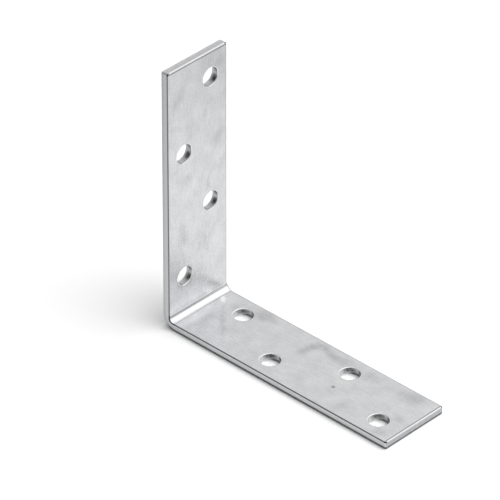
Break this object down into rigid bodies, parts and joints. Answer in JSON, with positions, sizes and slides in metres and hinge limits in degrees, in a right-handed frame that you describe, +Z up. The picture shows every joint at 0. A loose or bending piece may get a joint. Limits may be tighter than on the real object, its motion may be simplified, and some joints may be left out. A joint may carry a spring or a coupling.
{
  "type": "narrow angle bracket",
  "caption": "Narrow right-angle bracket folded from one steel strip, equal legs, with round fixing holes staggered in a zigzag along both legs.",
  "frame": {"origin": "middle of the underside of the bracket's box, halfway along the foot and across the strip", "axes": "+X along the foot from the upright to its free end, +Y across the strip, +Z up along the upright"},
  "size_m": [0.145, 0.0408, 0.145],
  "materials": {
    "galvanised_steel": "smooth hot-dip zinc on sheet steel, satin, faintly clouded"
  },
  "bodies": {
    "root": {"angle_bracket": "galvanised_steel"}
  },
  "joints": []
}
